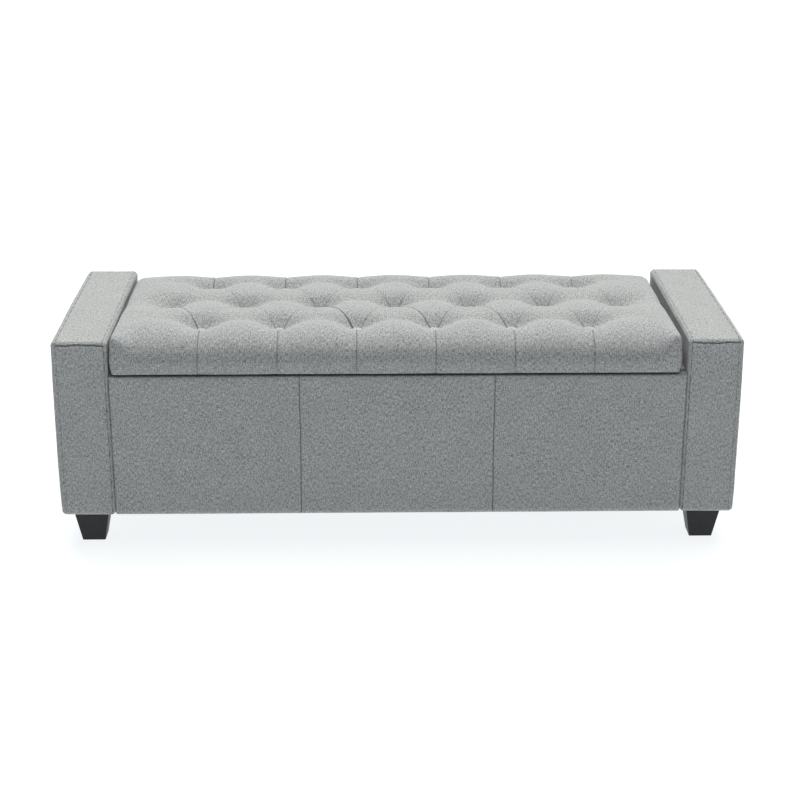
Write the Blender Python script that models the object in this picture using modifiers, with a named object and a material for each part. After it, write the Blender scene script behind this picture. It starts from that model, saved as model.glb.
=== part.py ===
"""Upholstered storage bench: two padded arms, a chest between them and a tufted lid on hinges.

Metres, +Z up, +X to the right of someone facing the bench, -Y its front. The origin is on the
floor under the bench's middle. The lid turns on two butt hinges at the back, and a slotted steel
stay at each end stops it when it stands upright.
"""
import math

import bmesh
import bpy
from mathutils import Matrix, Vector

# Overall sizes
WIDTH = 1.300
DEPTH = 0.490
ARM_TOP = 0.4095
ARM_WIDTH = 0.1025
FOOT_HEIGHT = 0.060
RIM_HEIGHT = 0.3430

# Clearances
TOUCH = 0.0003
RUNNING = 0.0003
LID_REST_GAP = 0.0030
LID_END_GAP = 0.0125

# Arms
ARM_PAD = 0.007
ARM_BOARD = 0.012
ARM_EDGE_RADIUS = 0.009

# Chest
FRONT_RECESS = 0.0025
BACK_RECESS = 0.0075
PANEL_PAD = 0.006
PANEL_BOARD = 0.015
RIM_PAD = 0.003
RIM_RADIUS = 0.0025
FLAP_DROP = 0.038
FLAP_THICK = 0.0015
FLOOR_BOARD = 0.009
LINING_THICK = 0.001
END_RAIL_WIDTH = 0.018

# Lid
LID_CREST = 0.4175
LID_BOARD = 0.015
LID_BOARD_INSET = 0.010
LID_LINING_THICK = 0.0012
LID_LINING_INSET = 0.012
LID_TOP_RADIUS = 0.025
LID_CORNER_RADIUS = 0.006

# Buttons: each row's name, its place from front to back, and its count
BUTTON_PITCH = 0.1497
BUTTON_ROW_PITCH = 0.135
BUTTON_ROWS = (("front", -1, 6), ("middle", 0, 7), ("back", 1, 6))
BUTTON_RADIUS = 0.010
BUTTON_THICK = 0.0065
BUTTON_TOP = 0.4040
DIMPLE_FLARE = 0.016

# Feet
FOOT_TOP_SIZE = 0.066
FOOT_BOTTOM_SIZE = 0.0445
FOOT_INSET_X = 0.055
FOOT_INSET_Y = 0.0425
FOOT_BEVEL = 0.002
BOLT_RADIUS = 0.004
BOLT_REACH = 0.022
BOLT_HOLE_PLAY = 0.0006

# Hinges
HINGE_SPACING = 0.640
HINGE_LENGTH = 0.060
HINGE_LEAF_HEIGHT = 0.020
HINGE_LEAF_THICK = 0.0015
HINGE_BARREL_RADIUS = 0.0033
HINGE_PIN_RADIUS = 0.0016
HINGE_PIN_HEAD = 0.0012

# Lid stays: the wall pin and the lid pivot are equally far from the hinge's axis, so that the
# slotted arm turns by half the lid's angle
STAY_REACH = 0.120
STAY_PIN_ANGLE = math.radians(38.0)
STAY_PIVOT_ANGLE = math.radians(7.0)
LID_OPEN_ANGLE = math.radians(90.0)
STAY_STANDOFF = 0.0215
STAY_THICK = 0.002
STAY_HALF_WIDTH = 0.008
STAY_PIN_RADIUS = 0.003
STAY_HEAD_RADIUS = 0.0055
STAY_HEAD_THICK = 0.0018
STAY_SIDE_PLAY = 0.0006
STAY_BOSS_RADIUS = 0.006
STAY_PLATE = (0.026, 0.040, 0.0019)
STAY_SLOT_SPARE = 0.004
BRACKET_LENGTH = 0.034
BRACKET_FLANGE = 0.022

# Worked out from the sizes above
HALF_WIDTH = WIDTH / 2
HALF_DEPTH = DEPTH / 2
CHEST_HALF = HALF_WIDTH - ARM_WIDTH
FRONT_FACE = -HALF_DEPTH + FRONT_RECESS
BACK_FACE = HALF_DEPTH - BACK_RECESS
FRONT_BOARD_INNER = FRONT_FACE + PANEL_PAD + TOUCH + PANEL_BOARD
BACK_BOARD_INNER = BACK_FACE - PANEL_PAD - TOUCH - PANEL_BOARD
FLOOR_TOP = FOOT_HEIGHT + TOUCH + FLOOR_BOARD
LID_BOTTOM = RIM_HEIGHT + LID_REST_GAP
LID_HALF = CHEST_HALF - LID_END_GAP
HINGE_Y = BACK_FACE + TOUCH + HINGE_BARREL_RADIUS
HINGE_Z = RIM_HEIGHT + LID_REST_GAP / 2
ROUND_STEPS = 16

SIDES = (("left", -1), ("right", 1))
ENDS = (("front", -1), ("back", 1))


def clear_scene():
    for item in list(bpy.data.objects):
        bpy.data.objects.remove(item, do_unlink=True)


def new_collection(name):
    collection = bpy.data.collections.new(name)
    bpy.context.scene.collection.children.link(collection)
    return collection


def new_look(name, colour, roughness, metallic=0.0):
    look = bpy.data.materials.new(name)
    look.use_nodes = True
    shader = look.node_tree.nodes["Principled BSDF"]
    shader.inputs["Base Color"].default_value = (*colour, 1.0)
    shader.inputs["Roughness"].default_value = roughness
    shader.inputs["Metallic"].default_value = metallic
    return look


clear_scene()
PARTS = new_collection("storage_bench")
CUTTERS = new_collection("cutters")

FABRIC = (0.36, 0.37, 0.37)
BLACK_CLOTH = (0.02, 0.02, 0.022)
PLYWOOD = (0.62, 0.46, 0.29)
FOOT_BLACK = (0.033, 0.033, 0.035)
ZINC = (0.62, 0.63, 0.65)


def new_frame(name, position):
    """An empty on a joint's axis, which the moving pieces are parented to."""
    frame = bpy.data.objects.new(name, None)
    frame.location = position
    PARTS.objects.link(frame)
    return frame


def put(name, data, collection, centre, parent=None):
    """An object holding the data, with its origin at the given point of the world."""
    item = bpy.data.objects.new(name, data)
    collection.objects.link(item)
    item.location = Vector(centre)
    if parent is not None:
        item.parent = parent
        item.location = Vector(centre) - parent.location
    return item


def as_part(item, colour, roughness, metallic=0.0):
    item.data.materials.append(new_look(item.name, colour, roughness, metallic))
    return item


def as_cutter(item):
    item.hide_render = True
    item.display_type = "WIRE"
    return item


def box_mesh(name, size):
    cage = bmesh.new()
    bmesh.ops.create_cube(cage, size=1.0, matrix=Matrix.Diagonal((*size, 1.0)))
    mesh = bpy.data.meshes.new(name)
    cage.to_mesh(mesh)
    cage.free()
    return mesh


def box_object(name, low, high, collection, parent=None):
    low = Vector(low)
    high = Vector(high)
    return put(name, box_mesh(name, high - low), collection, (low + high) / 2, parent)


def board(name, low, high, parent=None):
    return as_part(box_object(name, low, high, PARTS, parent), PLYWOOD, 0.65)


def box_cutter(name, low, high):
    return as_cutter(box_object(name, low, high, CUTTERS))


def round_edges(item, radius, steps, chosen):
    """Rounds the mesh edges whose middle and direction the test accepts."""
    cage = bmesh.new()
    cage.from_mesh(item.data)
    picked = []
    for edge in cage.edges:
        start, end = (corner.co for corner in edge.verts)
        if chosen((start + end) / 2, (end - start).normalized()):
            picked.append(edge)
    bmesh.ops.bevel(cage, geom=picked, offset=radius, segments=steps, profile=0.5,
                    affect="EDGES", clamp_overlap=True)
    cage.to_mesh(item.data)
    cage.free()


def shade_round(item):
    item.data.shade_smooth()
    item.data.set_sharp_from_angle(angle=math.radians(35))


def cylinder_object(name, centre, axis, radius, length, collection):
    cage = bmesh.new()
    turn = Vector((0, 0, 1)).rotation_difference(Vector(axis)).to_matrix().to_4x4()
    bmesh.ops.create_cone(cage, cap_ends=True, segments=ROUND_STEPS, radius1=radius,
                          radius2=radius, depth=length, matrix=turn)
    mesh = bpy.data.meshes.new(name)
    cage.to_mesh(mesh)
    cage.free()
    return put(name, mesh, collection, centre)


def turned_object(name, profile, centre, collection, axis=(0, 0, 1), parent=None):
    """A shape turned about the axis. The profile is (radius, height) points, top to bottom."""
    mesh = bpy.data.meshes.new(name)
    points = [(radius, 0.0, height) for radius, height in profile]
    mesh.from_pydata(points, [(i, i + 1) for i in range(len(points) - 1)], [])
    item = put(name, mesh, collection, centre, parent)
    item.rotation_mode = "QUATERNION"
    item.rotation_quaternion = Vector((0, 0, 1)).rotation_difference(Vector(axis))
    screw = item.modifiers.new("turn", "SCREW")
    screw.steps = ROUND_STEPS
    screw.render_steps = ROUND_STEPS
    screw.use_merge_vertices = True
    screw.merge_threshold = 0.00001
    screw.use_smooth_shade = True
    return item


def combine(item, other, how):
    modifier = item.modifiers.new(how.lower() + "_" + other.name, "BOOLEAN")
    modifier.operation = how
    modifier.solver = "EXACT"
    modifier.object = other


def side_span(side, near, far):
    """Low and high X of a span given by its distances from the bench's middle."""
    return sorted((side * near, side * far))


# Arms

def make_arm(label, side):
    inner = CHEST_HALF
    low_x, high_x = side_span(side, inner, HALF_WIDTH)
    cover = box_object("arm_cover_" + label, (low_x, -HALF_DEPTH, FOOT_HEIGHT),
                       (high_x, HALF_DEPTH, ARM_TOP), PARTS)
    as_part(cover, FABRIC, 0.9)
    round_edges(cover, ARM_EDGE_RADIUS, 2, lambda middle, along: middle.z > 0 or abs(along.z) > 0.5)
    shade_round(cover)
    pocket_x = side_span(side, inner + ARM_PAD, HALF_WIDTH - ARM_PAD)
    pocket_y = HALF_DEPTH - ARM_PAD
    pocket_top = ARM_TOP - ARM_PAD
    hollow = box_cutter("arm_hollow_" + label, (pocket_x[0], -pocket_y, 0.0),
                        (pocket_x[1], pocket_y, pocket_top))
    combine(cover, hollow, "DIFFERENCE")

    left = pocket_x[0] + TOUCH
    right = pocket_x[1] - TOUCH
    reach = pocket_y - TOUCH
    floor = FOOT_HEIGHT + TOUCH
    roof = pocket_top - TOUCH
    board("arm_top_board_" + label, (left, -reach, roof - ARM_BOARD), (right, reach, roof))
    bottom = board("arm_bottom_board_" + label, (left, -reach, floor),
                   (right, reach, floor + ARM_BOARD))
    for end_label, end in ENDS:
        hole = cylinder_object("bolt_hole_%s_%s" % (end_label, label), foot_centre(side, end, floor),
                               (0, 0, 1), BOLT_RADIUS + BOLT_HOLE_PLAY, 4 * ARM_BOARD, CUTTERS)
        combine(bottom, as_cutter(hole), "DIFFERENCE")

    low = floor + ARM_BOARD + TOUCH
    high = roof - ARM_BOARD - TOUCH
    outer_x = side_span(side, HALF_WIDTH - ARM_PAD - TOUCH - ARM_BOARD, HALF_WIDTH - ARM_PAD - TOUCH)
    inner_x = side_span(side, inner + ARM_PAD + TOUCH, inner + ARM_PAD + TOUCH + ARM_BOARD)
    board("arm_outer_board_" + label, (outer_x[0], -reach, low), (outer_x[1], reach, high))
    board("arm_inner_board_" + label, (inner_x[0], -reach, low), (inner_x[1], reach, high))
    between = side_span(side, inner + ARM_PAD + 2 * TOUCH + ARM_BOARD,
                        HALF_WIDTH - ARM_PAD - 2 * TOUCH - ARM_BOARD)
    for end_label, end in ENDS:
        span_y = sorted((end * (reach - ARM_BOARD), end * reach))
        board("arm_%s_board_%s" % (end_label, label), (between[0], span_y[0], low),
              (between[1], span_y[1], high))


# Feet

def foot_centre(side, end, height):
    return (side * (HALF_WIDTH - FOOT_INSET_X), end * (HALF_DEPTH - FOOT_INSET_Y), height)


def make_foot(side_label, side, end_label, end):
    top = FOOT_HEIGHT - TOUCH
    name = "foot_%s_%s" % (end_label, side_label)
    foot = put(name, box_mesh(name, (FOOT_TOP_SIZE, FOOT_TOP_SIZE, top)), PARTS,
               foot_centre(side, end, top / 2))
    for corner in foot.data.vertices:
        if corner.co.z < 0:
            corner.co.x *= FOOT_BOTTOM_SIZE / FOOT_TOP_SIZE
            corner.co.y *= FOOT_BOTTOM_SIZE / FOOT_TOP_SIZE
    round_edges(foot, FOOT_BEVEL, 2, lambda middle, along: abs(along.z) > 0.5)
    as_part(foot, FOOT_BLACK, 0.45)
    bolt_length = BOLT_REACH * 1.5
    bolt = cylinder_object("hanger_bolt_%s_%s" % (end_label, side_label),
                           foot_centre(side, end, FOOT_HEIGHT + BOLT_REACH - bolt_length / 2),
                           (0, 0, 1), BOLT_RADIUS, bolt_length, CUTTERS)
    combine(foot, as_cutter(bolt), "UNION")


# Chest

def make_chest_panel(label, face, inward):
    """A board with its padded cover, which folds over the rim and a little way down inside."""
    half = CHEST_HALF - TOUCH
    board_outer = face + inward * PANEL_PAD
    board_inner = board_outer + inward * (2 * TOUCH + PANEL_BOARD)
    flap_inner = board_inner + inward * FLAP_THICK
    cover_y = sorted((face, flap_inner))
    cover = box_object(label + "_cover", (-half, cover_y[0], FOOT_HEIGHT),
                       (half, cover_y[1], RIM_HEIGHT), PARTS)
    as_part(cover, FABRIC, 0.9)
    round_edges(cover, RIM_RADIUS, 2, lambda middle, along: middle.z > 0 and abs(along.x) > 0.5)
    shade_round(cover)
    pocket_y = sorted((board_outer, board_inner))
    pocket = box_cutter(label + "_board_pocket", (-WIDTH, pocket_y[0], -FOOT_HEIGHT),
                        (WIDTH, pocket_y[1], RIM_HEIGHT - RIM_PAD))
    combine(cover, pocket, "DIFFERENCE")
    flap_y = sorted((board_outer + inward * PANEL_BOARD / 2, flap_inner + inward * PANEL_BOARD))
    flap_end = box_cutter(label + "_flap_end", (-WIDTH, flap_y[0], -FOOT_HEIGHT),
                          (WIDTH, flap_y[1], RIM_HEIGHT - FLAP_DROP))
    combine(cover, flap_end, "DIFFERENCE")
    board_y = sorted((board_outer + inward * TOUCH, board_inner - inward * TOUCH))
    board(label + "_board", (-half, board_y[0], FOOT_HEIGHT + TOUCH),
          (half, board_y[1], RIM_HEIGHT - RIM_PAD - TOUCH))


def make_end_rail(label, side):
    span_x = side_span(side, CHEST_HALF - TOUCH - END_RAIL_WIDTH, CHEST_HALF - TOUCH)
    front = FRONT_BOARD_INNER + 2 * TOUCH + FLAP_THICK
    back = BACK_BOARD_INNER - 2 * TOUCH - FLAP_THICK
    rail = box_object("end_rail_" + label, (span_x[0], front, RIM_HEIGHT - FLAP_DROP),
                      (span_x[1], back, LID_BOTTOM - TOUCH), PARTS)
    round_edges(rail, RIM_RADIUS, 2, lambda middle, along: middle.z > 0 and abs(along.y) > 0.5)
    shade_round(rail)
    as_part(rail, FABRIC, 0.9)


def make_floor_and_lining():
    half = CHEST_HALF - TOUCH
    front = FRONT_BOARD_INNER + TOUCH
    back = BACK_BOARD_INNER - TOUCH
    board("floor_board", (-half, front, FOOT_HEIGHT + TOUCH), (half, back, FLOOR_TOP))
    lining = box_object("storage_lining", (-half, front, FLOOR_TOP + TOUCH),
                        (half, back, RIM_HEIGHT - FLAP_DROP - TOUCH), PARTS)
    cage = bmesh.new()
    cage.from_mesh(lining.data)
    lid_side = [face for face in cage.faces if face.normal.z > 0.5]
    bmesh.ops.delete(cage, geom=lid_side, context="FACES_ONLY")
    cage.to_mesh(lining.data)
    cage.free()
    as_part(lining, BLACK_CLOTH, 0.95)
    wall = lining.modifiers.new("cloth", "SOLIDIFY")
    wall.thickness = LINING_THICK
    wall.offset = -1.0
    wall.use_even_offset = True


# Lid

def button_places():
    """Name and X, Y of each button, row by row."""
    places = []
    for row_label, row, count in BUTTON_ROWS:
        for index in range(count):
            x = (index - (count - 1) / 2) * BUTTON_PITCH
            y = lid_middle_y() + row * BUTTON_ROW_PITCH
            places.append(("button_%s_%d" % (row_label, index + 1), x, y))
    return places


def lid_middle_y():
    return (FRONT_FACE + BACK_FACE) / 2


def make_lid(axis):
    cushion = box_object("lid_cushion", (-LID_HALF, FRONT_FACE, LID_BOTTOM),
                         (LID_HALF, BACK_FACE, LID_CREST), PARTS, axis)
    as_part(cushion, FABRIC, 0.9)
    round_edges(cushion, LID_TOP_RADIUS, 3, lambda middle, along: middle.z > 0 and abs(along.z) < 0.5)
    round_edges(cushion, LID_CORNER_RADIUS, 2, lambda middle, along: abs(along.z) > 0.99)
    shade_round(cushion)
    board_half = LID_HALF - LID_BOARD_INSET
    board_front = FRONT_FACE + LID_BOARD_INSET
    board_back = BACK_FACE - LID_BOARD_INSET
    board_low = LID_BOTTOM + LID_LINING_THICK + TOUCH
    board_high = board_low + LID_BOARD
    pocket = box_cutter("lid_board_pocket", (-board_half - TOUCH, board_front - TOUCH, 0.0),
                        (board_half + TOUCH, board_back + TOUCH, board_high + TOUCH))
    combine(cushion, pocket, "DIFFERENCE")

    seat = BUTTON_TOP - BUTTON_THICK - TOUCH
    depth = 2 * (LID_CREST - seat)
    flare = BUTTON_RADIUS + TOUCH + 2 * DIMPLE_FLARE
    for name, x, y in button_places():
        cage = bmesh.new()
        bmesh.ops.create_cone(cage, cap_ends=True, segments=ROUND_STEPS,
                              radius1=BUTTON_RADIUS + TOUCH, radius2=flare, depth=depth)
        mesh = bpy.data.meshes.new("dimple_" + name)
        cage.to_mesh(mesh)
        cage.free()
        dimple = put("dimple_" + name, mesh, CUTTERS, (x, y, seat + depth / 2))
        combine(cushion, as_cutter(dimple), "DIFFERENCE")
        make_button(name, (x, y, BUTTON_TOP), axis)

    board("lid_board", (-board_half, board_front, board_low), (board_half, board_back, board_high), axis)
    inset = LID_LINING_INSET
    lining = box_object("lid_lining", (-board_half + inset, board_front + inset, LID_BOTTOM),
                        (board_half - inset, board_back - inset, LID_BOTTOM + LID_LINING_THICK),
                        PARTS, axis)
    as_part(lining, BLACK_CLOTH, 0.95)


def make_button(name, top_point, axis):
    radius = BUTTON_RADIUS
    profile = (
        (0.0, 0.0),
        (radius * 0.55, -BUTTON_THICK * 0.12),
        (radius * 0.90, -BUTTON_THICK * 0.42),
        (radius, -BUTTON_THICK * 0.75),
        (radius * 0.92, -BUTTON_THICK),
        (0.0, -BUTTON_THICK),
    )
    button = turned_object(name, profile, top_point, PARTS, parent=axis)
    as_part(button, FABRIC, 0.85)


# Hinges

def make_hinge(label, centre_x, axis):
    centre = Vector((centre_x, HINGE_Y, HINGE_Z))
    third = HINGE_LENGTH / 3
    half = HINGE_LENGTH / 2
    leaf_y = (BACK_FACE + TOUCH, BACK_FACE + TOUCH + HINGE_LEAF_THICK)
    knuckle_spans = {"case": ((-half, -third / 2 - RUNNING), (third / 2 + RUNNING, half)),
                     "lid": ((-third / 2, third / 2),)}
    for kind, up, parent in (("case", -1, None), ("lid", 1, axis)):
        span_z = sorted((HINGE_Z, HINGE_Z + up * HINGE_LEAF_HEIGHT))
        leaf = box_object("hinge_%s_leaf_%s" % (kind, label),
                          (centre_x - half, leaf_y[0], span_z[0]),
                          (centre_x + half, leaf_y[1], span_z[1]), PARTS, parent)
        as_part(leaf, ZINC, 0.35, 1.0)
        other = "lid" if kind == "case" else "case"
        for index, (start, end) in enumerate(knuckle_spans[other]):
            reach = HINGE_BARREL_RADIUS + RUNNING
            relief = box_cutter("relief_%s_%s_%d" % (kind, label, index),
                                (centre_x + start - RUNNING, HINGE_Y - 2 * reach, HINGE_Z - reach),
                                (centre_x + end + RUNNING, HINGE_Y + reach, HINGE_Z + reach))
            combine(leaf, relief, "DIFFERENCE")
        for index, (start, end) in enumerate(knuckle_spans[kind]):
            knuckle = cylinder_object("knuckle_%s_%s_%d" % (kind, label, index),
                                      centre + Vector(((start + end) / 2, 0, 0)), (1, 0, 0),
                                      HINGE_BARREL_RADIUS, end - start, CUTTERS)
            combine(leaf, as_cutter(knuckle), "UNION")
        bore = cylinder_object("bore_%s_%s" % (kind, label), centre, (1, 0, 0),
                               HINGE_PIN_RADIUS + RUNNING, 2 * HINGE_LENGTH, CUTTERS)
        combine(leaf, as_cutter(bore), "DIFFERENCE")
    head = half + RUNNING
    head_radius = (HINGE_PIN_RADIUS + HINGE_BARREL_RADIUS) / 2
    profile = (
        (0.0, head + HINGE_PIN_HEAD),
        (head_radius * 0.8, head + HINGE_PIN_HEAD),
        (head_radius, head + HINGE_PIN_HEAD / 2),
        (head_radius, head),
        (HINGE_PIN_RADIUS, head),
        (HINGE_PIN_RADIUS, -head),
        (head_radius, -head),
        (head_radius, -head - HINGE_PIN_HEAD / 2),
        (head_radius * 0.8, -head - HINGE_PIN_HEAD),
        (0.0, -head - HINGE_PIN_HEAD),
    )
    pin = turned_object("hinge_pin_" + label, profile, centre, PARTS, axis=(1, 0, 0))
    as_part(pin, ZINC, 0.3, 1.0)


# Lid stays

def stay_point(angle):
    """A point at the stay's reach from the hinge's axis, the angle down from straight forward."""
    return Vector((0.0, HINGE_Y - STAY_REACH * math.cos(angle), HINGE_Z - STAY_REACH * math.sin(angle)))


def ring_points(centre_x, radius, start, end, steps):
    points = []
    for index in range(steps + 1):
        angle = start + (end - start) * index / steps
        points.append((centre_x + radius * math.cos(angle), radius * math.sin(angle)))
    return points


def stadium(start, end, radius):
    """Outline of a bar with round ends, whose end circles are centred at the two X values."""
    half_turn = ROUND_STEPS // 2
    quarter = math.pi / 2
    return (ring_points(end, radius, -quarter, quarter, half_turn)
            + ring_points(start, radius, quarter, 3 * quarter, half_turn))


def flat_bar(name, outlines, thickness, collection):
    """A plate from outlines in its own XY plane: the first is its edge, the others are holes."""
    curve = bpy.data.curves.new(name, "CURVE")
    curve.dimensions = "2D"
    curve.fill_mode = "BOTH"
    curve.extrude = thickness / 2
    for outline in outlines:
        spline = curve.splines.new("POLY")
        spline.points.add(len(outline) - 1)
        for point, (x, y) in zip(spline.points, outline):
            point.co = (x, y, 0.0, 1.0)
        spline.use_cyclic_u = True
    item = bpy.data.objects.new(name, curve)
    collection.objects.link(item)
    return item


def make_stay(label, side, lid_axis):
    pin_point = stay_point(STAY_PIN_ANGLE)
    pivot_point = stay_point(STAY_PIVOT_ANGLE)
    closed_angle = STAY_PIN_ANGLE - STAY_PIVOT_ANGLE
    shut = 2 * STAY_REACH * math.sin(closed_angle / 2)
    opened = 2 * STAY_REACH * math.sin((closed_angle + LID_OPEN_ANGLE) / 2)
    wall = CHEST_HALF - TOUCH - LINING_THICK
    arm_outer = wall - STAY_STANDOFF
    arm_middle = arm_outer - STAY_THICK / 2
    arm_inner = arm_outer - STAY_THICK
    inwards = (-side, 0, 0)

    # the pin: plate on the wall, boss out to the arm, shank through its slot, and a head
    boss = wall - TOUCH - arm_outer - STAY_SIDE_PLAY
    shank = boss + STAY_THICK + 2 * STAY_SIDE_PLAY
    profile = (
        (0.0, shank + STAY_HEAD_THICK),
        (STAY_HEAD_RADIUS * 0.7, shank + STAY_HEAD_THICK),
        (STAY_HEAD_RADIUS, shank + STAY_HEAD_THICK * 0.5),
        (STAY_HEAD_RADIUS, shank),
        (STAY_PIN_RADIUS, shank),
        (STAY_PIN_RADIUS, boss),
        (STAY_BOSS_RADIUS, boss),
        (STAY_BOSS_RADIUS, STAY_PLATE[2] / 2),
        (0.0, STAY_PLATE[2] / 2),
    )
    foot = Vector((side * (wall - TOUCH), pin_point.y, pin_point.z))
    pin = turned_object("stay_wall_pin_" + label, profile, foot, PARTS, axis=inwards)
    as_part(pin, ZINC, 0.35, 1.0)
    plate_x = side_span(side, wall - TOUCH - STAY_PLATE[2], wall - TOUCH)
    plate = box_object("stay_plate_" + label,
                       (plate_x[0], foot.y - STAY_PLATE[0] / 2, foot.z - STAY_PLATE[1] / 2),
                       (plate_x[1], foot.y + STAY_PLATE[0] / 2, foot.z + STAY_PLATE[1] / 2), CUTTERS)
    combine(pin, as_cutter(plate), "UNION")

    # the slotted arm, which hangs from the lid's bracket and slides on the pin
    axis_name = "stay_axis_" + label
    stay_axis = new_frame(axis_name, (side * arm_middle, pivot_point.y, pivot_point.z))
    outlines = (
        stadium(0.0, opened, STAY_HALF_WIDTH),
        stadium(shut - STAY_SLOT_SPARE, opened, STAY_PIN_RADIUS + RUNNING),
        ring_points(0.0, STAY_PIN_RADIUS + RUNNING, 0.0, 2 * math.pi, ROUND_STEPS)[:-1],
    )
    arm = flat_bar("stay_arm_" + label, outlines, STAY_THICK, PARTS)
    along = (pin_point - pivot_point).normalized()
    across = Vector((1, 0, 0)).cross(along)
    arm.parent = stay_axis
    arm.rotation_mode = "QUATERNION"
    arm.rotation_quaternion = Matrix((along, across, (1, 0, 0))).transposed().to_quaternion()
    as_part(arm, ZINC, 0.35, 1.0)

    # the bracket under the lid, an angle with a riveted pivot
    web_far = arm_inner - STAY_SIDE_PLAY
    web_near = web_far - STAY_HEAD_THICK
    seat = LID_BOTTOM - TOUCH
    low = pivot_point.z - STAY_HALF_WIDTH
    web_x = side_span(side, web_near, web_far)
    start_y = pivot_point.y - BRACKET_LENGTH / 2
    end_y = pivot_point.y + BRACKET_LENGTH / 2
    bracket = box_object("stay_lid_bracket_" + label, (web_x[0], start_y, low),
                         (web_x[1], end_y, seat), PARTS, lid_axis)
    as_part(bracket, ZINC, 0.35, 1.0)
    flange_x = side_span(side, web_far - BRACKET_FLANGE, web_far - STAY_HEAD_THICK / 2)
    flange = box_object("stay_flange_" + label, (flange_x[0], start_y, seat - STAY_HEAD_THICK),
                        (flange_x[1], end_y, seat), CUTTERS)
    combine(bracket, as_cutter(flange), "UNION")
    rivet_head = web_far + 2 * STAY_SIDE_PLAY + STAY_THICK - web_near - STAY_HEAD_THICK / 2
    rivet_profile = (
        (0.0, rivet_head + STAY_HEAD_THICK),
        (STAY_HEAD_RADIUS * 0.7, rivet_head + STAY_HEAD_THICK),
        (STAY_HEAD_RADIUS, rivet_head + STAY_HEAD_THICK * 0.5),
        (STAY_HEAD_RADIUS, rivet_head),
        (STAY_PIN_RADIUS, rivet_head),
        (STAY_PIN_RADIUS, 0.0),
        (0.0, 0.0),
    )
    rivet_foot = Vector((side * (web_near + STAY_HEAD_THICK / 2), pivot_point.y, pivot_point.z))
    rivet = turned_object("stay_rivet_" + label, rivet_profile, rivet_foot, CUTTERS, axis=(side, 0, 0))
    combine(bracket, as_cutter(rivet), "UNION")


def make_bench():
    lid_axis = new_frame("lid_axis", (0.0, HINGE_Y, HINGE_Z))
    for label, side in SIDES:
        make_arm(label, side)
        make_end_rail(label, side)
        make_hinge(label, side * HINGE_SPACING / 2, lid_axis)
        make_stay(label, side, lid_axis)
        for end_label, end in ENDS:
            make_foot(label, side, end_label, end)
    make_chest_panel("front", FRONT_FACE, 1)
    make_chest_panel("back", BACK_FACE, -1)
    make_floor_and_lining()
    make_lid(lid_axis)


make_bench()
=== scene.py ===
"""Looks of the upholstered storage bench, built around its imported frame."""

import math

import bmesh
import bpy
import numpy as np
from mathutils import Matrix, Vector


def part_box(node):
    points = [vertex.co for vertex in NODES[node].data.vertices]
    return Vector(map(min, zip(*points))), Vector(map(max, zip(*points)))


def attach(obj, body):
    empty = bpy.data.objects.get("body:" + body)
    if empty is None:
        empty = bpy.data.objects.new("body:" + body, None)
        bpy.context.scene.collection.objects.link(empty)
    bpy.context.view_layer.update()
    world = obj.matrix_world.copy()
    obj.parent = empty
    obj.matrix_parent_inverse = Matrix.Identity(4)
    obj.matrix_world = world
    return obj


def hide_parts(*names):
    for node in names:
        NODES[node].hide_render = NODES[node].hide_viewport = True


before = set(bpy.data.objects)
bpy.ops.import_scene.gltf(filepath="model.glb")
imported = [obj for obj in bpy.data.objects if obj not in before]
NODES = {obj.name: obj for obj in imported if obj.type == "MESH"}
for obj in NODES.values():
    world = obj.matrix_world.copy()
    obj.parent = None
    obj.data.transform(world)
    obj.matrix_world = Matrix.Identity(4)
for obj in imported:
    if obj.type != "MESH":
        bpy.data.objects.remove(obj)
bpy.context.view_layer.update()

SIDES = (("left", -1), ("right", 1))


def node_box(name):
    low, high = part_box(name)
    return np.array(low), np.array(high)


# Materials: a node tree is written as nested calls of add()

class Look:
    """The nodes of a new material, or of another block that has them, such as a world."""

    def __init__(self, name, blocks=bpy.data.materials, shader="Principled BSDF"):
        self.material = blocks.new(name)
        self.material.use_nodes = True
        self.tree = self.material.node_tree
        self.shader = self.tree.nodes[shader]

    def add(self, kind, inputs=(), output=0, **settings):
        """A new node with the given inputs, numbers or sockets, by name or index."""
        node = self.tree.nodes.new("ShaderNode" + kind)
        for key, value in settings.items():
            setattr(node, key, value)
        for key, value in dict(inputs).items():
            self.feed(node.inputs[key], value)
        return node.outputs[output]

    def feed(self, socket, value):
        if isinstance(value, bpy.types.NodeSocket):
            self.tree.links.new(value, socket)
        else:
            socket.default_value = value

    def math(self, operation, first, second=0.0, third=0.0, clamp=False):
        return self.add("Math", {0: first, 1: second, 2: third}, operation=operation, use_clamp=clamp)

    def mix(self, factor, first, second):
        return self.add("Mix", {0: factor, 6: first, 7: second}, output=2, data_type="RGBA")

    def noise(self, vector, scale, detail=2.0, rough=0.5):
        return self.add("TexNoise", {"Vector": vector, "Scale": scale, "Detail": detail,
                                     "Roughness": rough})

    def scaled(self, vector, factors):
        return self.add("Mapping", {"Vector": vector, "Scale": factors})

    def bump(self, height, distance, strength):
        return self.add("Bump", {"Height": height, "Distance": distance, "Strength": strength})

    def surface(self, **values):
        for key, value in values.items():
            self.feed(self.shader.inputs[key.replace("_", " ")], value)
        return self.material


def ramp(look, factor, low, high):
    """0 to 1 as the factor goes from low to high."""
    return look.add("MapRange", {"Value": factor, "From Min": low, "From Max": high,
                                 "To Min": 0.0, "To Max": 1.0})


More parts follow.
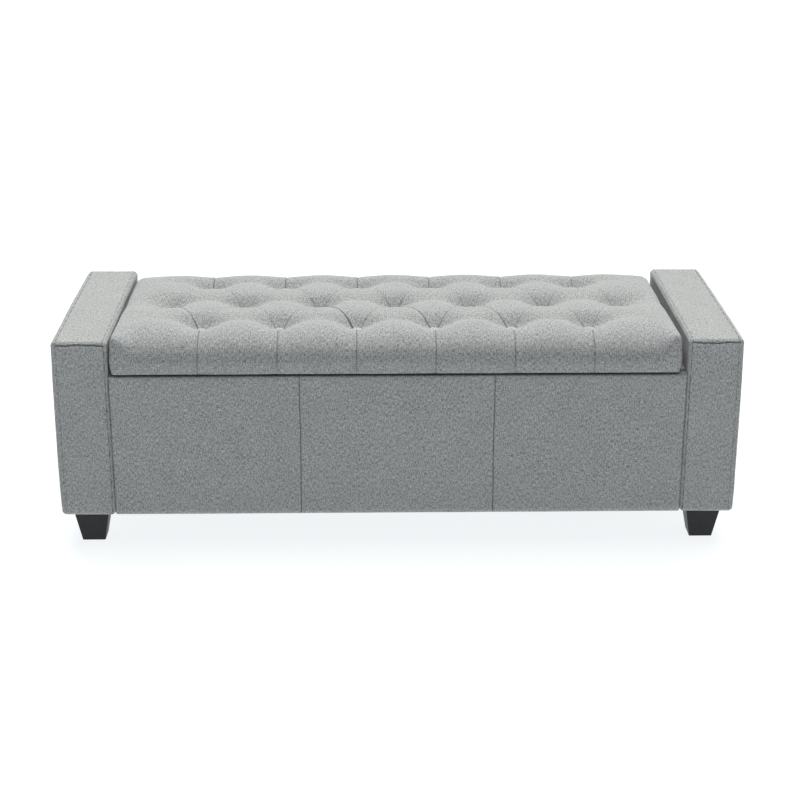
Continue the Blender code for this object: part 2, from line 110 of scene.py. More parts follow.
def cloth_plane(look):
    """Two coordinates in metres along the cloth, picked by which way the surface faces."""
    place = look.add("TexCoord", output=3)
    facing = look.add("TexCoord", output=1)
    at = look.add("SeparateXYZ", {0: place}, output=0).node
    to = look.add("SeparateXYZ", {0: facing}, output=0).node
    faces_x = look.math("GREATER_THAN", look.math("ABSOLUTE", to.outputs[0]), 0.72)
    faces_z = look.math("GREATER_THAN", look.math("ABSOLUTE", to.outputs[2]), 0.72)
    across = look.add("Mix", {0: faces_x, 2: at.outputs[0], 3: at.outputs[1]})
    along = look.add("Mix", {0: faces_z, 2: at.outputs[2], 3: at.outputs[1]})
    return place, across, along


def linen_look(name, light, dark):
    """Heathered linen-look weave: light and dark yarns crossing, with slubs and flecks, and painted
    shade along seams and pleat folds.
    """
    look = Look(name)
    place, across, along = cloth_plane(look)
    flat = look.add("CombineXYZ", {0: across, 1: along, 2: 0.0})
    warp = look.noise(look.scaled(flat, (500.0, 165.0, 1.0)), 1.0, 2.0)
    weft = look.noise(look.scaled(flat, (150.0, 540.0, 1.0)), 1.0, 2.0)
    turn = 2 * math.pi / 0.0016
    over = look.math("MULTIPLY", look.math("SINE", look.math("MULTIPLY", across, turn)),
                     look.math("SINE", look.math("MULTIPLY", along, turn)))
    yarn = look.add("Mix", {0: ramp(look, over, -1.4, 0.8), 2: weft, 3: warp})
    fleck = look.noise(place, 740.0, 2.0, 0.6)
    cloud = look.noise(place, 26.0, 2.0)
    tone = look.math("MULTIPLY_ADD", ramp(look, fleck, 0.36, 0.64), 0.40,
                     look.math("MULTIPLY", ramp(look, yarn, 0.34, 0.66), 0.60))
    tone = look.math("MULTIPLY_ADD", look.math("SUBTRACT", cloud, 0.5), 0.10, tone, clamp=True)
    colour = look.mix(tone, (*dark, 1.0), (*light, 1.0))
    # painted shade: the 'seam' attribute darkens the colour towards a deep grey along pleat folds and
    # seam lines, where shade falls in the folds
    seam = look.add("Attribute", output=2, attribute_name="seam")
    deep = tuple(c * 0.3 for c in dark)
    colour = look.mix(seam, colour, (*deep, 1.0))
    weave = look.math("MULTIPLY_ADD", over, 0.35, yarn)
    normal = look.bump(weave, 0.0007, 0.55)
    return look.surface(Base_Color=colour, Roughness=0.92, Normal=normal, Specular_IOR_Level=0.25,
                        Sheen_Weight=0.12, Sheen_Roughness=0.55)


def felt_look(name, colour, fibre):
    """Matt non-woven cloth with short fibres."""
    look = Look(name)
    place = look.add("TexCoord", output=3)
    fibres = look.noise(place, 900.0, 4.0, 0.7)
    dots = look.add("TexVoronoi", {"Vector": place, "Scale": 520.0})
    tone = look.math("MULTIPLY", ramp(look, fibres, 0.35, 0.75), ramp(look, dots, 0.1, 0.6))
    shade = look.mix(tone, (*colour, 1.0), (*fibre, 1.0))
    return look.surface(Base_Color=shade, Roughness=0.95, Specular_IOR_Level=0.2,
                        Normal=look.bump(fibres, 0.0006, 0.6), Sheen_Weight=0.1)


def wood_look(name, light, dark):
    """Plain pale plywood with long grain and edge plies."""
    look = Look(name)
    place = look.add("TexCoord", output=3)
    wander = look.noise(look.scaled(place, (3.0, 12.0, 12.0)), 1.0, 3.0)
    grain = look.noise(look.scaled(place, (6.0, 160.0, 160.0)), 1.0, 4.0, 0.6)
    pores = look.noise(look.scaled(place, (40.0, 900.0, 900.0)), 1.0, 2.0)
    tone = look.math("MULTIPLY_ADD", wander, 0.5, look.math("MULTIPLY", grain, 0.5))
    colour = look.mix(ramp(look, tone, 0.3, 0.7), (*dark, 1.0), (*light, 1.0))
    rough = look.math("MULTIPLY_ADD", grain, 0.2, 0.5)
    return look.surface(Base_Color=colour, Roughness=rough, Normal=look.bump(pores, 0.0003, 0.4))


def foot_look(name, colour):
    """Black-stained wood under a satin lacquer, a little worn at its texture's high spots."""
    look = Look(name)
    place = look.add("TexCoord", output=3)
    grain = look.noise(look.scaled(place, (260.0, 260.0, 26.0)), 1.0, 4.0, 0.6)
    cloud = look.noise(place, 60.0, 2.0)
    tone = look.math("MULTIPLY_ADD", grain, 0.6, look.math("MULTIPLY", cloud, 0.4))
    paler = tuple(c * 1.7 + 0.004 for c in colour)
    shade = look.mix(ramp(look, tone, 0.35, 0.75), (*colour, 1.0), (*paler, 1.0))
    rough = look.math("MULTIPLY_ADD", grain, 0.22, 0.36)
    return look.surface(Base_Color=shade, Roughness=rough, Specular_IOR_Level=0.32,
                        Normal=look.bump(grain, 0.00025, 0.35))


def steel_look(name, colour, streak):
    """Zinc-plated steel with fine rolling streaks."""
    look = Look(name)
    place = look.add("TexCoord", output=3)
    lines = look.noise(look.scaled(place, streak), 1.0, 3.0)
    spots = look.noise(place, 140.0, 3.0)
    duller = tuple(c * 0.72 for c in colour)
    shade = look.mix(ramp(look, spots, 0.35, 0.7), (*colour, 1.0), (*duller, 1.0))
    rough = look.math("MULTIPLY_ADD", lines, 0.22, 0.22)
    return look.surface(Base_Color=shade, Roughness=rough, Metallic=1.0,
                        Normal=look.bump(lines, 0.0001, 0.3))


LINEN = linen_look("grey_linen", (0.635, 0.648, 0.638), (0.066, 0.073, 0.078))
# the buttons' cloth: the grey linen made lighter, painted light on their domes
LIT_BUTTON_LINEN = linen_look("button_linen", (0.72, 0.73, 0.72), (0.12, 0.13, 0.135))
LINING = felt_look("black_lining", (0.012, 0.012, 0.013), (0.06, 0.06, 0.064))
PLYWOOD = wood_look("plywood", (0.66, 0.50, 0.32), (0.47, 0.33, 0.19))
FOOT_BLACK = foot_look("foot_black", (0.009, 0.009, 0.0095))
ZINC = steel_look("zinc_steel", (0.66, 0.67, 0.69), (30.0, 900.0, 900.0))


# Meshes: closed lattice boxes whose grid lines can be set, refined along seams and then shaped

def even_lines(low, high, step):
    count = max(1, int(round((high - low) / step)))
    return np.linspace(low, high, count + 1)


def merged_lines(*groups, closest=0.0002):
    """All the values in order, without any that lie closer than that to the one before."""
    values = np.sort(np.concatenate([np.atleast_1d(group) for group in groups]))
    kept = [values[0]]
    for value in values[1:]:
        if value - kept[-1] > closest:
            kept.append(value)
    return np.array(kept)


def arc_lines(edge, inward, radius, count):
    """Positions in from an edge that divide the round of that radius evenly."""
    angles = np.linspace(0.0, math.pi / 2, count + 1)
    return edge + inward * radius * (1 - np.cos(angles))


def rounded_lines(low, high, radius, count, step, *more, **settings):
    """Grid lines from low to high, closer at the rounds of both edges, with any more added."""
    return merged_lines(arc_lines(low, 1, radius, count), arc_lines(high, -1, radius, count),
                        even_lines(low + radius, high - radius, step), *more, **settings)


def around(centre):
    """Grid lines crowding in on a seam from both sides."""
    steps = np.array((0.0004, 0.0009, 0.0016, 0.0026, 0.004, 0.0062))
    return np.concatenate([centre - steps, [centre], centre + steps])


def lattice_parts(xs, ys, zs, open_top=False):
    """Points and quads of a box surface divided along the given coordinates, and its index."""
    size = (len(xs), len(ys), len(zs))
    index = np.full(size, -1, dtype=np.int64)
    shell = np.zeros(size, dtype=bool)
    shell[[0, -1], :, :] = True
    shell[:, [0, -1], :] = True
    shell[:, :, [0] if open_top else [0, -1]] = True
    places = np.argwhere(shell)
    index[shell] = np.arange(len(places))
    points = np.stack([xs[places[:, 0]], ys[places[:, 1]], zs[places[:, 2]]], axis=1)
    layers = [(index[0], True), (index[-1], False), (index[:, 0], False), (index[:, -1], True),
              (index[:, :, 0], True), (index[:, :, -1], False)]
    quads = []
    for layer, flip in layers[:5] if open_top else layers:
        corners = [layer[:-1, :-1], layer[1:, :-1], layer[1:, 1:], layer[:-1, 1:]]
        if flip:
            corners.reverse()
        quads.append(np.stack([corner.ravel() for corner in corners], axis=1))
    return points, np.concatenate(quads), index


def lattice_box(name, xs, ys, zs):
    return raw_mesh(name, *lattice_parts(xs, ys, zs)[:2])


def raw_mesh(name, points, quads):
    mesh = bpy.data.meshes.new(name)
    mesh.vertices.add(len(points))
    mesh.vertices.foreach_set("co", np.asarray(points, dtype=np.float32).ravel())
    mesh.loops.add(quads.size)
    mesh.loops.foreach_set("vertex_index", quads.ravel().astype(np.int32))
    mesh.polygons.add(len(quads))
    mesh.polygons.foreach_set("loop_start", np.arange(0, quads.size, quads.shape[1], dtype=np.int32))
    mesh.polygons.foreach_set("loop_total", np.full(len(quads), quads.shape[1], dtype=np.int32))
    mesh.update(calc_edges=True)
    mesh.validate()
    return mesh


def points_of(mesh):
    points = np.empty(len(mesh.vertices) * 3, dtype=np.float32)
    mesh.vertices.foreach_get("co", points)
    return points.reshape(-1, 3).astype(np.float64)


def set_points(mesh, points):
    mesh.vertices.foreach_set("co", np.asarray(points, dtype=np.float32).ravel())
    mesh.update()


def refine(mesh, distance_to_seam, reach, cuts):
    """Divides the faces near a seam, where the function of the points says how near."""
    near = distance_to_seam(points_of(mesh)) < reach
    cage = bmesh.new()
    cage.from_mesh(mesh)
    cage.verts.ensure_lookup_table()
    picked = [edge for edge in cage.edges if near[edge.verts[0].index] and near[edge.verts[1].index]]
    bmesh.ops.subdivide_edges(cage, edges=picked, cuts=cuts, use_grid_fill=True)
    cage.to_mesh(mesh)
    cage.free()


def face_outward(mesh, end_loops=()):
    """Closes the mesh with a face on each loop of vertex numbers and turns all faces outwards."""
    cage = bmesh.new()
    cage.from_mesh(mesh)
    cage.verts.ensure_lookup_table()
    for loop in end_loops:
        cage.faces.new([cage.verts[number] for number in loop])
    bmesh.ops.recalc_face_normals(cage, faces=cage.faces)
    cage.to_mesh(mesh)
    cage.free()


def set_painted_seam_shade(mesh, values):
    # the values are painted shade: how far the cloth's colour darkens along seams and pleat folds
    seam = mesh.attributes.new("seam", "FLOAT", "POINT")
    seam.data.foreach_set("value", np.clip(values, 0.0, 1.0).astype(np.float32))


def new_object(name, data):
    item = bpy.data.objects.new(name, data)
    bpy.context.scene.collection.objects.link(item)
    return item


def new_piece(name, mesh, material, body, node=None, sharp=None):
    """A visible piece that rides a body, in place of a CAD node if one is named.

    Edges that turn more than sharp degrees stay sharp.
    """
    piece = new_object(name, mesh)
    mesh.materials.append(material)
    mesh.shade_smooth()
    if sharp:
        mesh.set_sharp_from_angle(angle=math.radians(sharp))
    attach(piece, body)
    if node:
        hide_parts(node)
    return piece


def smooth(values):
    """0 to 1 with no slope at either end."""
    held = np.clip(values, 0.0, 1.0)
    return held * held * (3 - 2 * held)


def bell(distance, reach):
    """1 at no distance, falling with no slope at either end to 0 at the reach."""
    return 0.5 * (1 + np.cos(math.pi * np.clip(np.abs(distance) / reach, 0.0, 1.0)))


def gauss(distance, width):
    return np.exp(-(distance / width) ** 2)


def ripple(points, pitch, seed):
    """Slow unevenness between -1 and 1: a few crossed waves with fixed phases."""
    total = np.zeros(len(points))
    rng = np.random.default_rng(seed)
    for _ in range(6):
        direction = rng.normal(size=3)
        direction /= np.linalg.norm(direction)
        wave = 2 * math.pi / (pitch * rng.uniform(0.7, 1.6))
        total += np.sin(points @ direction * wave + rng.uniform(0, 2 * math.pi))
    return total / 6


def round_box(points, low, high, radius):
    """Moves points of a box's surface onto the box with rounded edges. Gives the normals too."""
    inner = np.clip(points, low + radius, high - radius)
    away = points - inner
    length = np.linalg.norm(away, axis=1, keepdims=True)
    normals = away / np.maximum(length, 1e-9)
    return inner + normals * radius, normals


# Lid cushion

LID_LOW, LID_HIGH = node_box("lid_cushion")
UNDER_LOW, UNDER_HIGH = node_box("lid_lining")
LID_MIDDLE_Y = (LID_LOW[1] + LID_HIGH[1]) / 2
LID_CROWN = LID_HIGH[2] + 0.0085
LID_SKEW = -0.004
LID_END_LEAN = 0.0042
PIT_BLEND = 4.0
ROLL_FRONT = 0.092
ROLL_BACK = 0.075
ROLL_FRONT_END = 0.024
SQUARE_BLEND = 0.042
ROLL_END = 0.012
ROLL_END_BACK = 0.026
WALL_TOP = LID_LOW[2] + 0.0265
LID_CORNER = 0.007
LID_FOOT_ROUND = 0.003
PLEAT_FADE = 0.32
PIT_DEPTH = 0.0175
PIT_REACH = 0.040
BUTTON_EDGE = 0.009
FUNNEL_DEPTH = 0.0030
ROW_VALLEY = 0.0066
STRAIGHT_VALLEY = 0.0036
END_VALLEY = 0.0040
CROWN_FALL = 0.0066
UNDER_LIFT = 0.0018
END_PUFF = 0.0018


def button_seats():
    """Each button's node name with the X, Y of its middle and the Z of its top."""
    seats = []
    for row, count in (("front", 6), ("middle", 7), ("back", 6)):
        for number in range(1, count + 1):
            name = "button_%s_%d" % (row, number)
            low, high = node_box(name)
            seats.append((name, row, (low[0] + high[0]) / 2, (low[1] + high[1]) / 2, high[2]))
    return seats


SEATS = button_seats()
BUTTON_RADIUS = (node_box("button_middle_1")[1][0] - node_box("button_middle_1")[0][0]) / 2
PITCH = SEATS[1][2] - SEATS[0][2]


# how deep the two pleats beside each button are: a hand-tufted cover varies from one to the next
PLEAT_STRENGTH = {
    "front": ((0.75, 0.25), (0.50, 0.50), (1.20, 0.40), (0.80, 0.60), (0.65, 0.45), (0.35, 0.30)),
    "back": ((0.60, 0.75), (1.00, 0.55), (1.10, 0.75), (0.70, 0.95), (0.95, 0.70), (1.05, 0.60)),
}


def tuft_pleats():
    """The pleats, as (start, end, lean): diagonals between rows, and straight ones to an edge."""
    diagonals = []
    straight = []
    middle = [seat for seat in SEATS if seat[1] == "middle"]
    for name, row, x, y, _ in SEATS:
        if row == "middle":
            continue
        for other in middle:
            if abs(other[2] - x) < PITCH * 0.6:
                left, right = PLEAT_STRENGTH[row][int(name.split("_")[2]) - 1]
                lean = left if (other[2] < x) == (row == "front") else right
                diagonals.append(((x, y), (other[2], other[3]), lean))
        edge = LID_LOW[1] if row == "front" else LID_HIGH[1]
        straight.append(((x, y), (x, edge), 1.0))
    return diagonals, straight


DIAGONALS, STRAIGHTS = tuft_pleats()


def along_and_off(flat, start, end):
    """How far along each point lies, 0 to 1, and its signed distance to the left of the line."""
    start = np.array(start)
    span = np.array(end) - start
    length = np.linalg.norm(span)
    unit = span / length
    reach = (flat - start) @ unit / length
    side = (flat - start) @ np.array((-unit[1], unit[0]))
    beyond = np.maximum(np.maximum(-reach, reach - 1.0), 0.0) * length
    return np.clip(reach, 0.0, 1.0), side, np.hypot(side, beyond)


def pulled_down(r):
    """The pit around a button: a funnel at its edge in a broad round hollow."""
    funnel = FUNNEL_DEPTH * np.exp(-np.maximum(r - BUTTON_EDGE, 0.0) / 0.006)
    return PIT_DEPTH * np.exp(-(r / PIT_REACH) ** 2.6) + funnel


def tuft_drop(flat):
    """How far the tufted top lies below the crown at each X, Y."""
    pits = np.zeros(len(flat))
    drop = np.zeros(len(flat))
    for _, _, x, y, _ in SEATS:
        r = np.hypot(flat[:, 0] - x, flat[:, 1] - y)
        pits += pulled_down(r) ** PIT_BLEND
        turn = np.arctan2(flat[:, 1] - y, flat[:, 0] - x)
        wrinkle = np.sin(turn * 9 + x * 37) + 0.6 * np.sin(turn * 14 + y * 53 + x * 11)
        drop += 0.00035 * wrinkle * gauss(r - 0.017, 0.011)
    drop += pits ** (1 / PIT_BLEND)
    ends = smooth((LID_HIGH[0] - 0.02 - np.abs(flat[:, 0])) / 0.12)
    for row_y in sorted({seat[3] for seat in SEATS}):
        off = np.abs(flat[:, 1] - row_y - 0.011) / 0.020
        drop += ROW_VALLEY * np.exp(-off ** 1.6) * ends
    for start, end, _ in DIAGONALS:
        drop += 0.0012 * np.exp(-along_and_off(flat, start, end)[2] / 0.009)
    for start, end, _ in STRAIGHTS:
        outward = np.sign(end[1] - start[1])
        run = (flat[:, 1] - start[1]) * outward
        ramp_in = smooth(run / 0.06)
        side = np.abs(flat[:, 0] - start[0])
        drop += (STRAIGHT_VALLEY * bell(side, 0.072) + 0.0010 * np.exp(-side / 0.007)) * ramp_in
    for _, row, x, y, _ in SEATS:
        if row == "middle" and abs(x) > 2.5 * PITCH:
            run = (flat[:, 0] - x) * np.sign(x)
            drop += END_VALLEY * bell(flat[:, 1] - y, 0.055) * smooth(run / 0.05)
    return drop


def fold_shape(side, width=0.0055):
    """A pleat's fold across its line: the cloth on one side tucks under the lip of the other."""
    under = np.where(side > 0, np.exp(-np.maximum(side, 0.0) / width), gauss(side, 0.0005))
    lip = gauss(side + 0.0022, 0.0016)
    return 0.0021 * under - 0.0008 * lip + 0.0008 * gauss(side - 0.0004, 0.0007)


def groove_depth(flat):
    """The narrow fold of each pleat on the top, and the painted shade along its line."""
    depth = np.zeros(len(flat))
    shade = np.zeros(len(flat))
    for start, end, lean in DIAGONALS + STRAIGHTS:
        t, side, away = along_and_off(flat, start, end)
        straight = end[0] == start[0]
        fade = 0.8 if straight else (PLEAT_FADE + (1 - PLEAT_FADE) * np.abs(2 * t - 1) ** 0.9)
        inside = smooth(1 - (away - np.abs(side)) / 0.004)
        turned = side if (end[0] < start[0]) == (end[1] > start[1]) else -side
        depth += lean * fade * inside * fold_shape(turned)
        shade = np.maximum(shade, lean * fade * gauss(away, 0.0010))
    return depth, shade


def lid_crown(flat):
    """Height of the untufted top."""
    back = (flat[:, 1] - LID_LOW[1]) / (LID_HIGH[1] - LID_LOW[1])
    end = np.clip((np.abs(flat[:, 0]) - 0.42) / (LID_HIGH[0] - 0.42), 0, 1) ** 2
    return LID_CROWN - CROWN_FALL * (back + end)


def quarter_ellipse(inset, radius):
    return np.sqrt(np.clip(1 - (1 - np.clip(inset / radius, 0, 1)) ** 2, 0, 1))


def set_back(inset, radius):
    """How far a face falls back at that distance in from a rounded edge."""
    return radius * (1 - quarter_ellipse(inset, radius))


def quarter_square(inset, radius):
    """As quarter_ellipse, but fuller: the wall stays upright almost to the top."""
    return np.clip(1 - (1 - np.clip(inset / radius, 0, 1)) ** 4, 0, 1) ** 0.25


def lid_top_height(flat):
    depth, shade = groove_depth(flat)
    height = lid_crown(flat) - tuft_drop(flat) - depth
    from_end = LID_HIGH[0] - np.abs(flat[:, 0])
    square = 1 - smooth((from_end - 0.004) / SQUARE_BLEND)
    soft = quarter_ellipse(flat[:, 1] - LID_LOW[1], ROLL_FRONT)
    tight = quarter_square(flat[:, 1] - LID_LOW[1], ROLL_FRONT_END)
    rise = soft + (tight - soft) * square
    rise *= quarter_ellipse(LID_HIGH[1] - flat[:, 1], ROLL_BACK)
    to_back = smooth((flat[:, 1] - LID_LOW[1]) / (LID_HIGH[1] - LID_LOW[1]))
    rise *= quarter_square(from_end, ROLL_END + (ROLL_END_BACK - ROLL_END) * to_back)
    return WALL_TOP + (height - WALL_TOP) * rise, shade


def lid_wall_pleats(points, normal_y):
    """Fold depth, and painted shade along the pleat lines, on the front and back walls."""
    depth = np.zeros(len(points))
    shade = np.zeros(len(points))
    for start, end, lean in STRAIGHTS:
        mine = np.sign(end[1] - start[1]) == normal_y
        side = points[:, 0] - start[0]
        low = 0.35 + 0.65 * smooth((points[:, 2] - LID_LOW[2]) / 0.05)
        hollow = 0.0012 * np.exp(-np.abs(side) / 0.010)
        depth += mine * low * lean * (fold_shape(side * normal_y) + hollow)
        shade = np.maximum(shade, mine * low * lean * 0.8 * gauss(side, 0.0011))
    return depth, shade


def corner_round(points):
    """Rounds the cushion's four upright corners in plan."""
    centre = np.stack([np.sign(points[:, 0]) * (LID_HIGH[0] - LID_CORNER),
                       np.where(points[:, 1] > LID_MIDDLE_Y, LID_HIGH[1] - LID_CORNER,
                                LID_LOW[1] + LID_CORNER)], axis=1)
    away = points[:, :2] - centre
    outward = np.stack([np.sign(points[:, 0]), np.where(points[:, 1] > LID_MIDDLE_Y, 1.0, -1.0)], axis=1)
    inside = ((away * outward) > 0).all(axis=1)
    largest = np.abs(away).max(axis=1)
    length = np.maximum(np.linalg.norm(away, axis=1), 1e-9)
    moved = points.copy()
    moved[inside, :2] = (centre + away * (largest / length)[:, None])[inside]
    return moved


def shape_lid(points):
    """Where each point of the lattice box goes on the tufted cushion, and the painted shade along its
    pleat lines.
    """
    placed = corner_round(points)
    shade = np.zeros(len(points))
    on_top = points[:, 2] > WALL_TOP - 1e-5
    top_height, top_shade = lid_top_height(points[on_top, :2])
    placed[on_top, 2] = top_height
    shade[on_top] = top_shade
    height = np.clip((points[:, 2] - LID_LOW[2]) / (WALL_TOP - LID_LOW[2]), 0.0, 1.0)
    inset = set_back(points[:, 2] - LID_LOW[2], LID_FOOT_ROUND)
    puff = 0.0015 * smooth(height * 1.3) + 0.0005 * ripple(points, 0.09, 3)
    front_half = LID_MIDDLE_Y - LID_LOW[1]
    for axis, middle, half in ((0, 0.0, LID_HIGH[0]), (1, LID_MIDDLE_Y, front_half)):
        side = (points[:, axis] - middle) / half
        wall = np.abs(side) > 1 - 1e-6
        depth = np.zeros(len(points))
        if axis == 1:
            for sign in (-1, 1):
                mine = wall & (np.sign(side) == sign)
                fold, dark = lid_wall_pleats(points[mine], sign)
                depth[mine] = fold
                shade[mine] = np.maximum(shade[mine], dark)
        push = puff - inset - depth + (END_PUFF if axis == 0 else 0.0)
        placed[:, axis] += np.where(wall, np.sign(side) * push, 0.0)
    from_end = LID_HIGH[0] - np.abs(points[:, 0])
    lean = np.clip((placed[:, 2] - LID_LOW[2]) / 0.055, 0.0, 1.0) * smooth(1 - from_end / 0.08)
    placed[:, 0] += np.sign(points[:, 0]) * LID_END_LEAN * lean + LID_SKEW
    # the foam is hollowed a little where the cloth under the lid lies
    within = np.minimum(placed[:, :2] - UNDER_LOW[:2], UNDER_HIGH[:2] - placed[:, :2]).min(axis=1)
    below = points[:, 2] < LID_LOW[2] + 1e-5
    placed[:, 2] += np.where(below, UNDER_LIFT * smooth((within + 0.001) / 0.004), 0.0)
    return placed, shade


def seam_distance_lid(points):
    """Distance of a lattice point from the nearest pleat or button."""
    best = np.full(len(points), 1.0)
    on_top = points[:, 2] > WALL_TOP - 1e-5
    for start, end, _ in DIAGONALS + STRAIGHTS:
        away = along_and_off(points[:, :2], start, end)[2]
        best = np.minimum(best, np.where(on_top, away, 1.0))
        if start[0] == end[0]:
            wall = np.abs(points[:, 1] - end[1]) < 1e-6
            best = np.minimum(best, np.where(wall, np.abs(points[:, 0] - start[0]), 1.0))
    for _, _, x, y, _ in SEATS:
        r = np.hypot(points[:, 0] - x, points[:, 1] - y)
        best = np.minimum(best, np.where(on_top, np.maximum(r - 0.012, 0.0), 1.0))
    return best


def lid_lines(step, arc_steps):
    ys = merged_lines(arc_lines(LID_LOW[1], 1, ROLL_FRONT, arc_steps),
                      arc_lines(LID_HIGH[1], -1, ROLL_BACK, arc_steps),
                      even_lines(LID_LOW[1] + ROLL_FRONT, LID_HIGH[1] - ROLL_BACK, step),
                      closest=step * 0.02)
    xs = rounded_lines(LID_LOW[0], LID_HIGH[0], ROLL_END_BACK, arc_steps // 2, step, closest=step * 0.02)
    zs = merged_lines(arc_lines(LID_LOW[2], 1, LID_FOOT_ROUND, 4),
                      even_lines(LID_LOW[2] + LID_FOOT_ROUND, WALL_TOP, step), closest=0.0001)
    return xs, ys, zs


# The cushion's cloth is blown up by simulation on a coarse copy, and the dense mesh takes its moves

CLOTH_STEP = 0.009
CLOTH_FRAMES = 20
CLOTH_SETTINGS = {"quality": 6, "mass": 0.3, "tension_stiffness": 20.0, "compression_stiffness": 20.0,
                  "shear_stiffness": 8.0, "bending_stiffness": 0.8, "use_pressure": True,
                  "uniform_pressure_force": 4.0}
CLOTH_SHARE = 0.7  # of its moves, and none of them longer than the cap
CLOTH_CAP = 0.0035


def blown_up(name, placed, quads, held):
    """Where the points go when the cloth is filled, with the held ones (weight 1) kept."""
    trial = new_object(name, raw_mesh(name, placed, quads))
    group = trial.vertex_groups.new(name="held")
    for number in np.flatnonzero(held > 0.01):
        group.add([int(number)], float(held[number]), "REPLACE")
    cloth = trial.modifiers.new("filled", "CLOTH")
    for key, value in CLOTH_SETTINGS.items():
        setattr(cloth.settings, key, value)
    cloth.settings.vertex_group_mass = "held"
    cloth.settings.effector_weights.gravity = 0.0
    cloth.point_cache.frame_start = 1
    cloth.point_cache.frame_end = CLOTH_FRAMES
    for number in range(1, CLOTH_FRAMES + 1):
        bpy.context.scene.frame_set(number)
    graph = bpy.context.evaluated_depsgraph_get()
    filled = points_of(trial.evaluated_get(graph).data)
    bpy.data.objects.remove(trial)
    bpy.context.scene.frame_set(1)
    return filled


def spline_blend(grid, xs, ys, flat):
    """Values of a grid over X and Y at the given points, by a smooth cubic spline."""
    total = np.zeros((len(flat), grid.shape[2]))
    picks = []
    for lines, values in ((xs, flat[:, 0]), (ys, flat[:, 1])):
        place = np.interp(values, lines, np.arange(len(lines)))
        base = np.clip(place.astype(int), 0, len(lines) - 2)
        f = place - base
        weights = ((1 - f) ** 3 / 6, (3 * f ** 3 - 6 * f ** 2 + 4) / 6,
                   (-3 * f ** 3 + 3 * f ** 2 + 3 * f + 1) / 6, f ** 3 / 6)
        picks.append([(np.clip(base + step - 1, 0, len(lines) - 1), weights[step]) for step in range(4)])
    for column, across in picks[0]:
        for row, along in picks[1]:
            total += (across * along)[:, None] * grid[column, row]
    return total


def lid_swelling(points):
    """How far the filled cloth moves each point of the dense lattice."""
    xs, ys, zs = lid_lines(CLOTH_STEP, 10)
    coarse, quads, index = lattice_parts(xs, ys, zs)
    placed, _ = shape_lid(coarse)
    held = np.clip(1.6 - seam_distance_lid(coarse) / 0.005, 0.0, 1.0)
    held[coarse[:, 2] < WALL_TOP - 1e-5] = 1.0
    filled = blown_up("lid_cloth_trial", placed, quads, held)
    moves = (filled - placed) * CLOTH_SHARE
    far = np.linalg.norm(moves, axis=1, keepdims=True)
    moves *= np.minimum(1.0, CLOTH_CAP / np.maximum(far, 1e-9))
    found = spline_blend(moves[index[:, :, -1]], xs, ys, points[:, :2])
    inset = np.minimum(points[:, :2] - LID_LOW[:2], LID_HIGH[:2] - points[:, :2])
    found *= (smooth(inset[:, 0] / 0.012) * smooth(inset[:, 1] / 0.008))[:, None]
    return found * (points[:, 2] > WALL_TOP - 1e-5)[:, None]


def make_lid_cushion():
    mesh = lattice_box("lid_cushion_cloth", *lid_lines(0.0042, 26))
    refine(mesh, seam_distance_lid, 0.0058, 3)
    lattice = points_of(mesh)
    placed, shade = shape_lid(lattice)
    placed += lid_swelling(lattice)
    set_points(mesh, placed)
    # painted shade along the pleat folds
    set_painted_seam_shade(mesh, shade * 0.85)
    cushion = new_piece("lid_cushion_cloth", mesh, LINEN, "lid", "lid_cushion")


make_lid_cushion()


# Buttons: a domed cap of the same cloth, tucked under its rim, in a lighter copy of the linen: painted
# light on the domes

def turned_mesh(name, profile, steps):
    """Closed mesh of (radius, height) points, top to bottom, turned about Z."""
    cage = bmesh.new()
    rings = []
    for radius, height in profile:
        if radius < 1e-7:
            rings.append([cage.verts.new((0, 0, height))])
        else:
            rings.append([cage.verts.new((radius * math.cos(2 * math.pi * i / steps),
                                          radius * math.sin(2 * math.pi * i / steps), height))
                          for i in range(steps)])
    for upper, lower in zip(rings[:-1], rings[1:]):
        for i in range(steps):
            j = (i + 1) % steps
            corners = [upper[i % len(upper)], lower[i % len(lower)], lower[j % len(lower)],
                       upper[j % len(upper)]]
            cage.faces.new(list(dict.fromkeys(corners)))
    mesh = bpy.data.meshes.new(name)
    cage.to_mesh(mesh)
    cage.free()
    return mesh


def make_buttons():
    thick = 0.0065
    r = BUTTON_RADIUS
    profile = [(r * math.sin(a), -0.0035 * (1 - math.cos(a)) * 1.05)
               for a in np.linspace(0.0, math.radians(78), 9)]
    profile[0] = (0.0, 0.0)
    profile += [(r, -thick * 0.62), (r * 0.97, -thick * 0.8), (r * 0.86, -thick * 0.95),
                (r * 0.6, -thick), (0.0, -thick)]
    for name, _, x, y, top in SEATS:
        mesh = turned_mesh(name + "_cloth", profile, 40)
        points = points_of(mesh)
        turn = np.arctan2(points[:, 1], points[:, 0])
        rim = smooth((np.hypot(points[:, 0], points[:, 1]) / r - 0.55) / 0.45)
        points[:, 2] += 0.00018 * rim * np.sin(turn * 11 + x * 40 + y * 17)
        points += (x + LID_SKEW, y, top)
        set_points(mesh, points)
        set_painted_seam_shade(mesh, np.zeros(len(points)))
        # the lighter copy of the linen: painted light on the dome
        new_piece(name + "_cloth", mesh, LIT_BUTTON_LINEN, "lid", name)


make_buttons()


# Arms: padded boxes sewn from panels, with the seams a little way in from the edges

ARM_ROUND = 0.008
ARM_STEP = 0.005
ARM_BULGE = 0.0078
ARM_INNER_BULGE = 0.0010
SEAM_IN = 0.0065
STITCH_PITCH = 0.006


def pressed_line(distance):
    """Height of cloth by a seam: a narrow fold with a soft swell on each side."""
    return -0.0013 * gauss(distance, 0.0009) + 0.0004 * gauss(np.abs(distance) - 0.0035, 0.0022)


